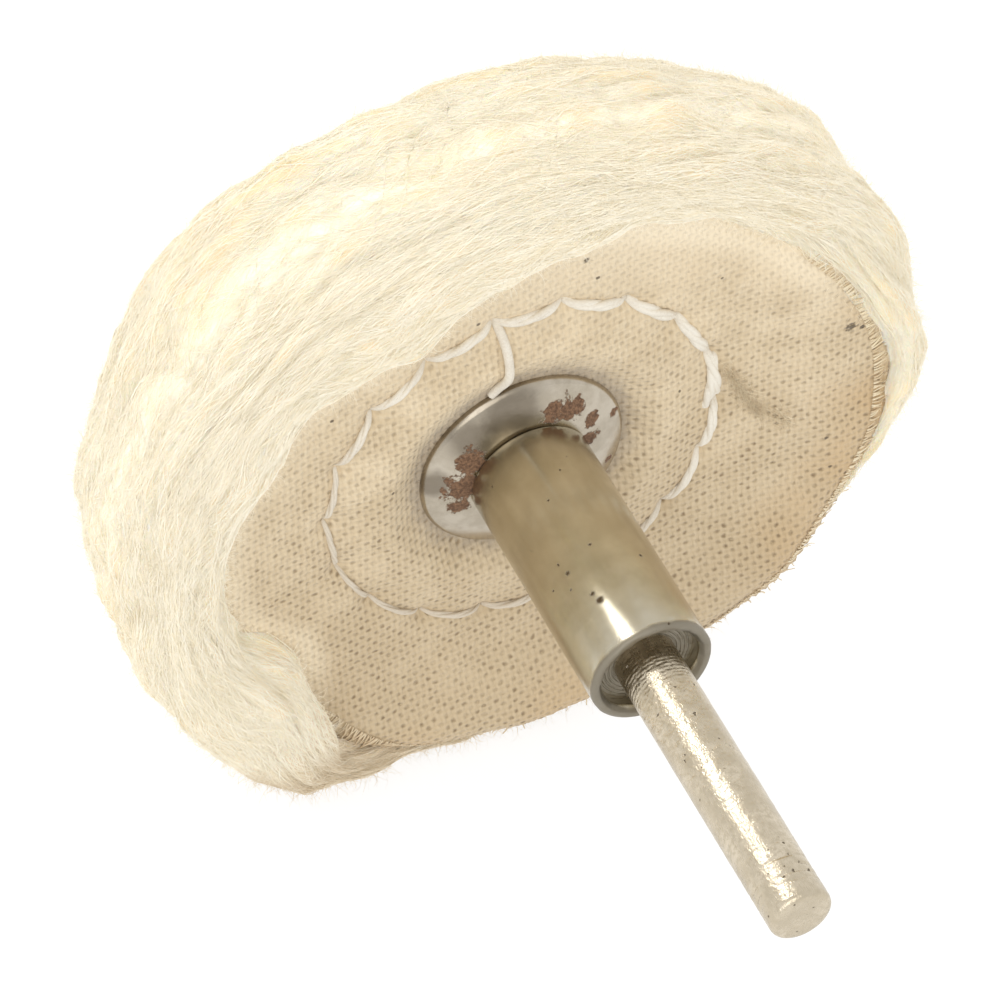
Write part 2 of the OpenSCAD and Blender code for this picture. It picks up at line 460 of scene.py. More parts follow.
# by angle in degrees, from +X towards +Z, in millimetres
rim = {
    # where the matted fluff starts on the front face
    "lip": {0: 36.0, 15: 33.8, 30: 32.0, 45: 30.4, 60: 29.6, 78: 29, 92: 27.8, 104: 25.8, 114: 23.6,
            126: 24.6, 138: 26.8, 152: 28.6, 168: 29.6, 184: 30.8, 196: 30.4, 206: 28.6, 212: 27.4, 218: 28.6,
            226: 31.6, 234: 35.2, 242: 36.2, 255: 35.5, 270: 35, 300: 34.5, 330: 35.5, 345: 37.2},
    # how far the fluff stands in front of the face's plane there
    "front": {0: 2.9, 25: 3.3, 50: 3.3, 70: 3.4, 110: 3.8, 150: 3.8, 190: 3.8, 210: 5.2, 225: 5.8,
              238: 4.4, 250: 1.8, 265: 1.0, 325: 1.0, 345: 2.0},
    # outer radius of the fluff
    "outer": {0: 41.0, 12: 40.5, 24: 40.6, 33: 40.8, 42: 39.6, 50: 38.6, 60: 37.4, 75: 37.0, 90: 37.3,
              110: 37.8, 135: 38.5, 160: 39.0, 180: 39.4, 200: 39.8, 215: 40.6, 228: 42.0, 240: 41.4,
              250: 39.4, 262: 38.2, 280: 37.6, 300: 37.8, 326: 38.2, 338: 39.2, 350: 40.8},
    # how far the front disc's edge leans out
    "lean": {0: 2.3, 25: 1.7, 42: 1.0, 60: 0.6, 110: 0.4, 190: 0.4, 225: 0.8, 240: 1.8, 255: 2.8, 300: 2.6,
             340: 3.0},
    # how far the edge curls back, with the ribs of its folded threads
    "curl": {0: 0.2, 30: 0, 235: 0, 246: 2.4, 262: 3.4, 280: 2.4, 300: 1.6, 325: 1.4, 345: 0.6},
    # radius at which the front disc's cut edge lies
    "edge": {0: 37.4, 20: 35.4, 35: 33.8, 50: 32, 70: 31, 90: 30.5, 180: 32, 215: 32, 235: 35.5,
             250: 38.3, 270: 39, 300: 38.4, 330: 38, 345: 38.4},
    # how far the fluff stands behind the back's plane, and where it starts there
    "back": {0: 3.6, 30: 3.4, 50: 2.6, 65: 2.0, 90: 2.0, 140: 2.8, 200: 3.4, 300: 3.4},
    "backLip": {0: 30, 40: 31, 90: 29.5, 150: 31, 210: 29, 260: 30.5, 310: 29.5},
}
lipAt, frontAt = ringCurve(rim["lip"], 7), ringCurve(rim["front"], 12)
outerAt, edgeAt = ringCurve(rim["outer"], 7), ringCurve(rim["edge"], 8)
leanAt, curlAt = ringCurve(rim["lean"], 10), ringCurve(rim["curl"], 8)
backAt, backLipAt = ringCurve(rim["back"], 12), ringCurve(rim["backLip"], 15)

holeAngles = np.radians(cloth["firstHole"] + np.arange(cloth["stitches"]) * 360 / cloth["stitches"])


# depth and width of what the thread presses into the cloth
seam = {
    "line": (0.22, 0.9),
    "hole": (0.62, 0.75),
    "dimple": (0.16, 2.2),
    "pucker": (0.1, 3.0),
}


def pressed(kind, away, share=1.0):
    depth, width = seam[kind]
    return depth * share * np.exp(-(away / width) ** 2)


def holeDepth(x, z):
    r, theta = np.hypot(x, z), np.arctan2(z, x)
    depth = pressed("line", r - seamRadius)
    for angle in holeAngles:
        away = np.hypot(x - seamRadius * math.cos(angle), z - seamRadius * math.sin(angle))
        depth = depth + pressed("hole", away) + pressed("dimple", away)
    puckers = np.cos((theta - holeAngles[0]) * cloth["stitches"])
    return depth + pressed("pucker", r - seamRadius, puckers)


def discSurface(r, theta, share):
    # a disc's middle surface; share is 0 at the front of the stack and 1 at the back
    x, z = r * np.cos(theta), r * np.sin(theta)
    loose = ease(seamRadius + 1, wheelRadius, r)
    drift = 1.0 * loose * softNoise(x / 13, share * 3.1, z / 13, 31)
    drift = drift + 0.35 * loose * softNoise(x / 5.5, share * 23, z / 5.5, 32)
    front = faceY - clothOut(r, leanAt(theta))
    back = backFaceY + clothOut(r, cloth["backLean"])
    puckers = holeDepth(x, z)
    return front * (1 - share) + back * share + drift + puckers * (1 - share) ** 3 - puckers * share ** 3


def bentBack(r, theta):
    return curlAt(theta) * ease(cloth["curlFrom"], cloth["curlTo"], r) ** 2


def between(theta, rise, fall):
    # 1 between two angles in degrees, fading to 0 over the ranges given
    rise, fall = np.radians(rise), np.radians(fall)
    return ease(rise[0], rise[1], theta) * (1 - ease(fall[0], fall[1], theta))


def disc(name, share, rows, columns, edge, relief=0.0, curl=0.0):
    # curl is the share of the edge's curl that this disc takes
    theta = fullTurn(columns)[None, :]
    steps = np.linspace(0, 1, rows)[:, None]
    start = shankRadius + 0.05
    r = start + steps * (edge(theta) - start)
    y = discSurface(r, theta, share)
    x, z = r * np.cos(theta), r * np.sin(theta)
    if relief:
        y = y + relief * softNoise(x / 1.7, 0, z / 1.7, 41)
        y = y + relief * 1.6 * softNoise(x / 4.3, 0, z / 4.3, 42)
    ribs = np.cos(theta * cloth["ribs"] + 2.2 * softNoise(x / 6, 0, z / 6, 43)) * cloth["ribHeight"]
    ribs = ribs * ease(35.0, 37.5, r) * np.clip(curlAt(theta), 0, 1)
    y = y + curl * (bentBack(r, theta) + ribs)
    # how far loose fluff whitens the cloth beside the lip
    fluffy = ease(lipAt(theta) - 3.6, lipAt(theta) - 0.2, r) * (1 - share)
    fluffy = fluffy * between(theta, (8, 35), (220, 234))
    flat = np.stack([x, z, np.zeros_like(x)], -1)
    half = cloth["plyThickness"] / 2
    points = np.concatenate([around(r, theta, y - half), around(r, theta, y + half)[::-1]])
    quads = gridQuads(2 * rows, columns, closeRows=True, closeColumns=True)
    return makePiece(name, points, quads[:, ::-1], attributes={
        "flatCloth": np.concatenate([flat, flat[::-1]]), "fluffy": np.concatenate([fluffy, 0 * fluffy])})


fluff = {
    "rows": 640,
    "columns": 136,
    "squareness": 2.7,       # 2 is an oval section
    "rimRadius": 38,         # with sectionRadius it turns the two angles into millimetres
    "sectionRadius": 13.5,
    "laidRadius": 37,
    # how deep the matting sinks at each scale
    "lumps": 1.5,
    "folds": 0.58,
    "locks": 0.3,
    "fine": 0.1,
    "fibreRadius": (0.022, 0.045),
}


def ringSection(theta, phi):
    # phi runs round the section: -90 degrees faces the shank, 0 outwards, 90 the back
    power = 2 / fluff["squareness"]
    out = np.sign(np.cos(phi)) * np.abs(np.cos(phi)) ** power
    along = np.sign(np.sin(phi)) * np.abs(np.sin(phi)) ** power
    half = 0.5 + 0.5 * along
    inner = lipAt(theta) * (1 - half) + backLipAt(theta) * half
    outer = outerAt(theta)
    frontY, backY = faceY - frontAt(theta), backFaceY + backAt(theta)
    r = (inner + outer) / 2 + out * (outer - inner) / 2
    y = (frontY + backY) / 2 + along * (backY - frontY) / 2
    return r, y


def surfaceNormals(grid):
    down = np.roll(grid, -1, 0) - np.roll(grid, 1, 0)
    over = np.roll(grid, -1, 1) - np.roll(grid, 1, 1)
    outward = np.cross(over, down)
    return outward / (np.linalg.norm(outward, axis=-1, keepdims=True) + 1e-9)


def ringGrid():
    # matted cotton: long along the rim, short across it
    theta = fullTurn(fluff["rows"])[:, None]
    phi = np.linspace(-math.pi, math.pi, fluff["columns"], endpoint=False)[None, :]
    r, y = ringSection(theta, phi)
    base = around(r, theta, y)
    x, z = fluff["rimRadius"] * np.cos(theta), fluff["rimRadius"] * np.sin(theta)
    c = phi * fluff["sectionRadius"]
    c = c + 3.2 * softNoise(x / 17, c / 15, z / 17, 51) + 1.1 * softNoise(x / 7, c / 6, z / 7, 52)
    lumps = softNoise(x / 15, c / 10, z / 15, 53)
    folds = 1 - 2 * np.abs(softNoise(x / 8.5, c / 3.4, z / 8.5, 54))
    locks = 1 - 2 * np.abs(softNoise(x / 4.2, c / 1.5, z / 4.2, 55))
    fine = softNoise(x / 2.0, c / 0.7, z / 2.0, 56)
    sink = fluff["lumps"] * lumps + fluff["folds"] * folds + fluff["locks"] * locks + fluff["fine"] * fine
    points = base - surfaceNormals(base) * sink[..., None]
    # bulge sets where the frayed cotton's colour takes its painted golden shade
    bulge = np.clip(0.5 - 0.35 * folds - 0.3 * locks - 0.2 * fine - 0.2 * lumps, 0, 1)
    x, z, c = np.broadcast_arrays(x, z, c)
    flow = np.stack([x / 4.5, c / 0.55, z / 4.5], -1)
    # painted shade and soil: the front of the rim turns tan from the lower left round the bottom to the right
    shadeAndSoil = between(theta, (213, 229), (318, 352)) * (1 - ease(-0.6, 1.1, phi))
    shadeAndSoil = shadeAndSoil * (0.85 + 0.15 * softNoise(x / 5, c / 4, z / 5, 57))
    return points, surfaceNormals(points), {"bulge": bulge, "flow": flow, "shadeAndSoil": shadeAndSoil}


ringPoints, ringNormals, ringAttributes = ringGrid()


def onRing(theta, phi, field):
    # reads the ring's grid between its points
    u = (theta / (2 * math.pi) % 1) * fluff["rows"]
    v = ((phi + math.pi) / (2 * math.pi) % 1) * fluff["columns"]
    a, b = np.floor(u).astype(int), np.floor(v).astype(int)
    s, t = (u - a)[..., None], (v - b)[..., None]
    a0, a1 = a % fluff["rows"], (a + 1) % fluff["rows"]
    b0, b1 = b % fluff["columns"], (b + 1) % fluff["columns"]
    return (field[a0, b0] * (1 - s) * (1 - t) + field[a1, b0] * s * (1 - t)
            + field[a0, b1] * (1 - s) * t + field[a1, b1] * s * t)


def fibres(name, count, seed, thetas, phis, length, lift, spread, points=8):
    # strands laid over the matted ring, mostly along it; thetas and phis are the range of their roots
    rng = np.random.default_rng(seed)
    theta0, phi0 = rng.uniform(*thetas, count), rng.uniform(*phis, count)
    span = rng.uniform(*length, count)
    heading = rng.normal(0, spread, count) + rng.choice([0, math.pi], count)
    s = np.linspace(0, 1, points)[None, :]
    angle = heading[:, None] + rng.normal(0, 0.5, (count, 1)) * s
    step = span[:, None] / (points - 1)
    along = np.cumsum(np.cos(angle) * step, 1)
    across = np.cumsum(np.sin(angle) * step, 1)
    wave = rng.uniform(0, 6.28, (count, 1))
    across = across + 0.22 * np.sin(wave + s * rng.uniform(4, 11, (count, 1)))
    theta = theta0[:, None] + along / fluff["laidRadius"]
    phi = phi0[:, None] + across / fluff["sectionRadius"]
    where, up = onRing(theta, phi, ringPoints), onRing(theta, phi, ringNormals)
    rise = rng.uniform(0, lift, (count, 1))
    rise = rise * np.sin(math.pi * np.clip(s * rng.uniform(0.6, 1.1, (count, 1)), 0, 1))
    curl = 0.12 * np.sin(wave * 3 + s * rng.uniform(6, 16, (count, 1)))
    paths = where + up * (0.03 + rise + curl * rise)[..., None]
    taper = 0.25 + 0.75 * np.sin(math.pi * (0.04 + 0.92 * s)) ** 0.6
    thickness = rng.uniform(*fluff["fibreRadius"], (count, 1)) * taper
    return strands(name, paths, thickness, tone=rng.uniform(0, 1, count))


def wisps(name, count, seed, start, reach, radius, points=6):
    # free hairs: start gives (root, heading) arrays, reach the range of their length
    rng = np.random.default_rng(seed)
    root, heading = start(rng, count)
    heading = heading + rng.normal(0, 0.35, root.shape)
    heading /= np.linalg.norm(heading, axis=-1, keepdims=True)
    side = np.cross(heading, rng.normal(0, 1, root.shape))
    side /= np.linalg.norm(side, axis=-1, keepdims=True)
    length = rng.uniform(*reach, (count, 1))
    s = np.linspace(0, 1, points)[None, :]
    turn = rng.uniform(0.3, 2.6, (count, 1))
    ahead = length * np.sin(turn * s) / turn
    aside = length * (1 - np.cos(turn * s)) / turn
    paths = root[:, None] + heading[:, None] * ahead[..., None] + side[:, None] * aside[..., None]
    thickness = rng.uniform(*radius, (count, 1)) * (1.05 - 0.8 * s)
    return strands(name, paths, thickness, tone=rng.uniform(0, 1, count))


def onFace(r, theta, above):
    # a point on the front disc, lifted off it by so much
    return around(r, theta, discSurface(r, theta, 0) - cloth["plyThickness"] / 2 - above)


# finishes

def calicoFinish(name, look):
    finish = Finish(name)
    flat = finish.stored("flatCloth")
    z = finish.split(flat)[1]
    weave, holes = plainWeave(finish, flat, cloth["weavePitch"])
    patchy = finish.noise(flat, 0.16, 3)
    uneven = finish.noise(flat, 0.75, 2)
    shown = finish.steps(uneven * 0.7 + patchy * 0.5, 0.42, 0.78) * look["holeDark"]
    # painted shade: the gaps between yarns and the holes of the weave darken more towards the bottom of the
    # face
    lower = finish.steps(0 - z, -28.0, 12.0) * 0.75 + 0.25
    tone = finish.blend(finish.steps(patchy, 0.35, 0.65), look["pale"], look["deep"])
    slub = finish.noise(finish.scaled(flat, 3.0, 0.25, 1.0), 1.0, 2)
    slubAcross = finish.noise(finish.scaled(flat, 0.25, 3.0, 1.0), 1.0, 2)
    tone = finish.blend(finish.steps(slub + slubAcross, 0.95, 1.25) * 0.35, tone, look["light"])
    # painted light: the face turns paler towards its top; the same pale colour also stands for loose fluff
    # lying on the cloth beside the lip
    topLightAndFluffPale = finish.steps(z + (patchy - 0.5) * 16, 16.0, 31.0)
    tone = finish.blend(topLightAndFluffPale * 0.65, tone, look["topLightAndFluffPale"])
    shaded = finish.steps((patchy - 0.5) * 14 - z, -16.0, 30.0)
    tone = finish.blend(shaded * 0.75, tone, look["shaded"])
    hidden = finish.stored("fluffy", "Fac")
    tone = finish.blend(hidden * 0.7, tone, look["topLightAndFluffPale"])
    lower = lower * (1 - topLightAndFluffPale * 0.55) * (1 - hidden * 0.7)
    tone = finish.blend((1 - weave) * lower * 0.28 * look["holeDark"], tone, look["deepest"])
    for spotX, spotZ, size, strength in look["tints"]:
        away = finish.far(flat, (spotX, spotZ, 0.0)) + (patchy - 0.5) * size
        tone = finish.blend((1 - finish.steps(away, 0.0, size)) * strength, tone, look["tan"])
    # painted shade and grime: a dark ring on the cloth round the washer's edge
    shadeAndGrime = finish.far(flat, (0.0, 0.0, 0.0)) + (uneven - 0.5) * 2.4
    shadeAndGrime = 1 - finish.steps(shadeAndGrime, washerRadius + 0.1, washerRadius + look["shadeAndGrimeWidth"])
    tone = finish.blend(shadeAndGrime * 0.6, tone, look["shadeAndGrime"])
    blot = finish.noise(flat, 2.2, 3)
    tone = finish.blend(holes * shown * lower * finish.steps(blot, 0.2, 0.5), tone, look["hole"])
    for spotX, spotZ, size in look["specks"]:
        away = finish.far(flat, (spotX, spotZ, 0.0)) + (blot - 0.5) * size * 2.2
        tone = finish.blend((1 - finish.steps(away, size * 0.35, size)) * 0.85, tone, look["speck"])
    hair = finish.noise(flat, 5.0, 4, 0.7)
    finish.set({"Base Color": tone, "Roughness": look["roughness"], "Specular IOR Level": 0.15,
                "Sheen Weight": 0.15})
    finish.bump(weave * look["weaveHeight"] + hair * 0.25 - holes * 0.4, 0.22 * mm, 0.9)
    return finish.material


faceLook = {
    "pale": rgb(0.765, 0.63, 0.435),
    "deep": rgb(0.665, 0.535, 0.355),
    "deepest": rgb(0.47, 0.355, 0.21),
    "light": rgb(0.81, 0.70, 0.52),
    "hole": rgb(0.26, 0.185, 0.105),
    "topLightAndFluffPale": rgb(0.90, 0.78, 0.58),
    "shaded": rgb(0.545, 0.425, 0.27),
    "tan": rgb(0.56, 0.39, 0.21),
    "shadeAndGrime": rgb(0.30, 0.25, 0.20),
    "shadeAndGrimeWidth": 2.2,
    "speck": rgb(0.075, 0.055, 0.035),
    "holeDark": 1.0,
    "weaveHeight": 0.6,
    "roughness": 0.85,
    # x, z, size, strength
    "tints": [(36, -6, 8, 0.7), (33, -14, 7, 0.6), (27, -22, 8, 0.5), (3, -36, 9, 0.5), (-14, -36, 7, 0.45),
              (36, 8, 6, 0.4), (12, -34, 8, 0.4)],
    # x, z, radius
    "specks": [(6, 25, 0.42), (7.3, 22, 0.25), (-4.5, 20.8, 0.3), (33, 5.3, 0.7), (34.2, 4.7, 0.4),
               (31, -9.5, 0.3), (31.5, -13.5, 0.28), (-13.5, 2.7, 0.22), (-19, 14.8, 0.26),
               (19.8, 16.5, 0.22), (15.8, 3, 0.22)],
}
backLook = dict(
    faceLook, tints=[(-30, 14, 9, 0.4), (20, -28, 8, 0.45)], specks=[(-12, 20, 0.5), (18, 9, 0.4)])
plyLook = dict(
    faceLook, tints=[], specks=[], pale=rgb(0.86, 0.77, 0.58), deep=rgb(0.78, 0.67, 0.47), holeDark=0.3)

cottonLook = {
    "pale": rgb(0.97, 0.92, 0.795),
    "cream": rgb(0.955, 0.875, 0.695),
    "shadeGold": rgb(0.90, 0.76, 0.51),
    "shadeAndSoil": rgb(0.66, 0.53, 0.36),
    "glow": rgb(1.0, 0.88, 0.64),
    "glowStrength": 0.08,
    "roughness": 0.9,
    "softness": 0.6,
    "scatter": (1.0, 0.75, 0.42),
    "scatterScale": 1.5,
}


def cottonBase(finish, look, tone):
    # the faint glow stands for light that the loose cotton lets through
    finish.set({"Base Color": tone, "Roughness": look["roughness"], "Specular IOR Level": 0.1,
                "Emission Color": look["glow"], "Emission Strength": look["glowStrength"]})


def frayedFinish(name, look):
    finish = Finish(name)
    flow = finish.stored("flow")
    bulge = finish.stored("bulge", "Fac")
    streak = finish.noise(flow, 1.0, 4, 0.6)
    broad = finish.noise(finish.spot(), 0.09, 3)
    # painted golden shade in the matted cotton, laid by the bulge attribute and the streaks
    goldShadeMask = finish.steps(bulge * 0.75 + streak * 0.5, 0.42, 0.88)
    tone = finish.blend(finish.steps(broad, 0.35, 0.65), look["pale"], look["cream"])
    tone = finish.blend(goldShadeMask * 0.95, tone, look["shadeGold"])
    # painted shade and soil on the front of the rim, from the stored attribute
    tone = finish.blend(finish.stored("shadeAndSoil", "Fac"), tone, look["shadeAndSoil"])
    cottonBase(finish, look, tone)
    finish.set({"Sheen Weight": 0.2, "Subsurface Weight": look["softness"],
                "Subsurface Radius": look["scatter"], "Subsurface Scale": look["scatterScale"] * mm})
    fine = finish.noise(finish.scaled(flow, 1.0, 2.6, 1.0), 1.0, 3, 0.65)
    finish.bump(streak + fine * 0.5, 0.5 * mm, 0.8)
    return finish.material


def fibreFinish(name, look):
    finish = Finish(name)
    spot = finish.spot()
    _, y, z = finish.split(spot)
    tone = finish.stored("tone", "Fac")
    along = finish.noise(spot, 0.5, 2)
    colour = finish.blend(finish.steps(tone + (along - 0.5) * 0.7, 0.3, 1.15), look["pale"], look["cream"])
    # painted shade and soil: fibres near the bottom of the rim turn tan
    low = finish.steps(0 - z + (along - 0.5) * 4, 23.0, 31.0) * (1 - finish.steps(y, 36.0, 44.0))
    colour = finish.blend(low * (0.5 + tone * 0.5), colour, look["shadeAndSoil"])
    cottonBase(finish, look, colour)
    finish.bump(finish.noise(spot, 6.0, 2), 0.05 * mm, 0.4)
    return finish.material


threadLook = {"pale": rgb(0.82, 0.77, 0.67), "shade": rgb(0.70, 0.63, 0.52), "lowerLeftShade": rgb(0.60, 0.515, 0.40)}


def threadFinish(name, look):
    finish = Finish(name)
    spot = finish.spot()
    x, _, z = finish.split(spot)
    ply = finish.noise(spot, 5.0, 3, 0.7)
    threadBlotches = finish.noise(spot, 0.25, 2)
    colour = finish.blend(finish.steps(ply * 0.6 + threadBlotches * 0.6, 0.5, 0.85), look["pale"], look["shade"])
    # painted shade: the stitches darken towards the lower left
    lowerLeftShade = finish.steps(0 - x * 0.6 - z + (threadBlotches - 0.5) * 8, -8.0, 20.0) * 0.7
    colour = finish.blend(lowerLeftShade, colour, look["lowerLeftShade"])
    finish.set({"Base Color": colour, "Roughness": 0.7, "Specular IOR Level": 0.2})
    finish.bump(ply, 0.12 * mm, 0.7)
    return finish.material


def nickelFinish(name, look):
    finish = Finish(name)
    spot = finish.spot()
    y = finish.split(spot)[1]
    cloud = finish.noise(spot, 0.35, 4)
    drawn = finish.noise(finish.scaled(spot, 3.0, 0.12, 3.0), 1.0, 3, 0.6)
    pits = finish.noise(spot, 1.5, 2, 0.5)
    grainy = finish.noise(spot, look["grain"], 3, 0.65)
    worn = (1 - finish.steps(y + (cloud - 0.5) * 0.8, look["worn"] - 0.35, look["worn"])) * 0.8
    pit = finish.steps(pits, look["pitFrom"], look["pitFrom"] + 0.05)
    for spotX, spotY, spotZ, size in look["pits"]:
        away = finish.far(spot, (spotX, spotY, spotZ)) + (grainy - 0.5) * size * 3.0
        pit = finish.math("MAXIMUM", pit, 1 - finish.steps(away, size * 0.5, size))
    colour = finish.blend(finish.steps(cloud, 0.3, 0.7), look["bright"], look["dull"])
    colour = finish.blend(finish.steps(grainy, 0.42, 0.66) * look["pebbled"] * 0.9, colour, look["dull"])
    colour = finish.blend(worn, colour, look["wornColour"])
    colour = finish.blend(pit, colour, look["pit"])
    rough = look["roughness"] + (cloud - 0.5) * 0.12 + (drawn - 0.5) * 0.1 + pit * 0.4 + worn * 0.3
    finish.set({"Base Color": colour, "Metallic": 1.0, "Roughness": rough})
    height = drawn * 0.3 + grainy * (look["pebbled"] + worn * 3.0) + cloud * 0.5 - pit * 0.8
    finish.bump(height, look["relief"] * mm, 0.5)
    return finish.material


nickelLook = {
    "bright": rgb(0.54, 0.495, 0.395),
    "dull": rgb(0.465, 0.42, 0.32),
    "pit": rgb(0.12, 0.085, 0.05),
    "pits": [(-3.7, 10.2, 4.7, 0.26), (-2.65, 5.65, 5.4, 0.42), (-2.9, 6.7, 5.2, 0.28),
             (-0.9, 11.5, 5.9, 0.17), (-4.1, 8.6, 4.3, 0.16), (-2.0, 18.1, 5.7, 0.15),
             (0.4, 20.7, 6.0, 0.13), (3.0, 9.0, 5.2, 0.2)],
    "pitFrom": 0.735,
    "roughness": 0.2,
    "relief": 0.03,
    "grain": 9.0,
    "pebbled": 0.3,
    "worn": 0.75,            # worn from the mouth's y to this one
    "wornColour": rgb(0.20, 0.175, 0.135),
}
steelLook = dict(
    nickelLook,
    bright=rgb(0.67, 0.59, 0.46),
    dull=rgb(0.52, 0.45, 0.335),
    pit=rgb(0.20, 0.165, 0.12),
    pits=[(0.9, -25.2, 2.86, 0.2), (1.5, -26.2, 2.6, 0.24), (0.5, -27.0, 2.95, 0.2), (-0.1, -26.3, 3.0, 0.17),
          (-0.6, -27.3, 2.94, 0.15), (1.1, -23.9, 2.79, 0.13), (2.0, -27.1, 2.2, 0.2)],
    pitFrom=0.70,
    roughness=0.27,
    relief=0.2,
    grain=1.9,
    pebbled=1.0,
    worn=-200)
# painted shade: the bushes take a darker copy of the rod steel for the shade they sit in
shadedBushLook = dict(steelLook, bright=rgb(0.36, 0.325, 0.265), dull=rgb(0.27, 0.24, 0.185), roughness=0.5)
washerLook = {
    "bright": rgb(0.51, 0.455, 0.37),
    "dull": rgb(0.42, 0.37, 0.29),
    "tarnishAndShade": rgb(0.16, 0.13, 0.095),
    "rustDark": rgb(0.10, 0.05, 0.026),
    "rustPale": rgb(0.27, 0.15, 0.08),
}


def washerFinish(name, rustSpots, tarnishAndShade):
    # both lists hold x, z and size
    finish = Finish(name)
    spot = finish.spot()
    x, _, z = finish.split(spot)
    plane = finish.node("ShaderNodeCombineXYZ", None, {0: x, 1: z, 2: 0.0})
    cloud = finish.noise(spot, 0.5, 4)
    ragged = finish.noise(spot, 0.9, 5, 0.65)
    crust = finish.noise(spot, 3.5, 4, 0.7)
    rust = 0.0
    for spotX, spotZ, size in rustSpots:
        away = finish.far(plane, (spotX, spotZ, 0.0)) + (ragged - 0.5) * size * 3.2
        rust = finish.math("MAXIMUM", rust, 1 - finish.steps(away, size * 0.8, size))
    colour = finish.blend(finish.steps(cloud, 0.35, 0.65), washerLook["bright"], washerLook["dull"])
    # dark patches: painted shade on the front washer's upper left, tarnish on the back washer
    for spotX, spotZ, size in tarnishAndShade:
        away = finish.far(plane, (spotX, spotZ, 0.0)) + (cloud - 0.5) * size
        dark = (1 - finish.steps(away, size * 0.3, size)) * 0.75
        colour = finish.blend(dark, colour, washerLook["tarnishAndShade"])
    rusty = finish.blend(finish.steps(crust, 0.35, 0.68), washerLook["rustDark"], washerLook["rustPale"])
    finish.set({"Base Color": finish.blend(rust, colour, rusty), "Metallic": 1 - rust,
                "Roughness": 0.24 + (cloud - 0.5) * 0.15 + rust * 0.6})
    finish.bump(crust * rust * 1.2 + cloud * 0.3 + ragged * 0.1, 0.18 * mm, 0.7)
    return finish.material


frontCalico = calicoFinish("calico face", faceLook)
backCalico = calicoFinish("calico back", backLook)
plyCalico = calicoFinish("calico plies", plyLook)
frayedCotton = frayedFinish("frayed cotton", cottonLook)
looseCotton = fibreFinish("loose cotton fibres", cottonLook)
fringeCotton = fibreFinish("frayed yarn ends", dict(
    cottonLook, pale=rgb(0.84, 0.74, 0.55), cream=rgb(0.66, 0.52, 0.34), glowStrength=0.0))
sewingCotton = threadFinish("sewing cotton", threadLook)
sleeveNickel = nickelFinish("worn nickel plate", nickelLook)
rodSteel = nickelFinish("turned rod steel", steelLook)
shadedBushSteel = nickelFinish("bush steel with painted shade", shadedBushLook)
# the front washer's dark patches, in its second list, are painted shade on its upper left
frontWasherPlate = washerFinish("rusted washer plate", [
    (-6.8, 1.0, 1.8), (-5.8, 3.9, 1.5), (-7.3, -1.7, 1.1), (2.6, 6.9, 1.3), (4.6, 6.5, 1.3), (6.4, 4.0, 0.9),
    (6.2, 1.9, 0.9), (9.2, 3.0, 0.5), (8.6, -3.0, 0.5)],
    [(-1.5, 8.2, 4.2), (-5.5, 6.2, 3.4), (-9.5, 1.5, 2.2)])
backWasherPlate = washerFinish("spotted washer plate", [
    (5.6, 4.6, 1.1), (-7.0, -3.0, 1.3), (-3.6, 7.6, 0.8), (8.6, -2.6, 0.6)],
    [(3.0, -7.5, 4.0), (-7.5, 4.0, 3.0)])
print("finishes ready")

# metal parts
shank = turnedSolid("shank_rod", rodProfile(), 96, rodRipple)
place(shank, rodSteel, "spindle_steel", "spindle")
tube = turned("sleeve_tube", sleeveProfile(), 128, sleeveRipple)
place(tube, sleeveNickel, "sleeve_nickel", "hub_sleeve")
frontPlate = turned("front_washer_plate", washerProfile(washerFrontY, 1), 128, washerRipple)
place(frontPlate, frontWasherPlate, "washer_nickel", "front_washer")
backPlate = turned("back_washer_plate", washerProfile(washerBackY, -1), 128, washerRipple)
place(backPlate, backWasherPlate, "washer_nickel", "back_washer")
for bush in ("shank_bush", "wheel_bush"):
    materials = bpy.data.objects[bush].data.materials
    materials.clear()
    materials.append(shadedBushSteel)
print("metal parts made")

# frayed rim and its loose fibres
ringQuads = gridQuads(fluff["rows"], fluff["columns"], closeRows=True, closeColumns=True)
frayed = makePiece("frayed_rim", ringPoints, ringQuads, attributes=ringAttributes)
place(frayed, frayedCotton, "calico")

wholeTurn = (0, 2 * math.pi)
fibreRows = [
    # name, count, seed, angles round the rim, angles round its section, length, lift, spread
    ("rim_fibres_a", 4500, 11, wholeTurn, (-1.5, 1.5), (6, 18), 0.22, 0.22),
    ("rim_fibres_b", 4500, 12, (0.4, 4.2), (-2.1, 0.4), (6, 20), 0.25, 0.22),
    ("lip_fibres", 3600, 13, (0.6, 4.3), (-2.5, -1.2), (5, 14), 0.22, 0.3),
    ("back_fibres", 3600, 14, wholeTurn, (0.9, 2.6), (6, 18), 0.22, 0.3),
]
fibrePieces = [fibres(*row) for row in fibreRows]


def hairRoots(rng, count, thetas, phis):
    theta, phi = rng.uniform(*thetas, count), rng.uniform(*phis, count)
    out = onRing(theta, phi, ringNormals)
    along = around(1.0, theta + math.pi / 2, 0.0) * rng.choice([-1, 1], count)[:, None]
    return theta, onRing(theta, phi, ringPoints) - out * 0.1, out, along


def edgeHairs(rng, count):
    _, root, out, along = hairRoots(rng, count, wholeTurn, (-1.7, 1.7))
    return root, out * 0.55 + along


def lipHairs(rng, count):
    theta, root, out, along = hairRoots(rng, count, (-0.25, 4.3), (-2.75, -1.9))
    return root, along + around(-1.0, theta, 0.0) * 0.3 + out * 0.15


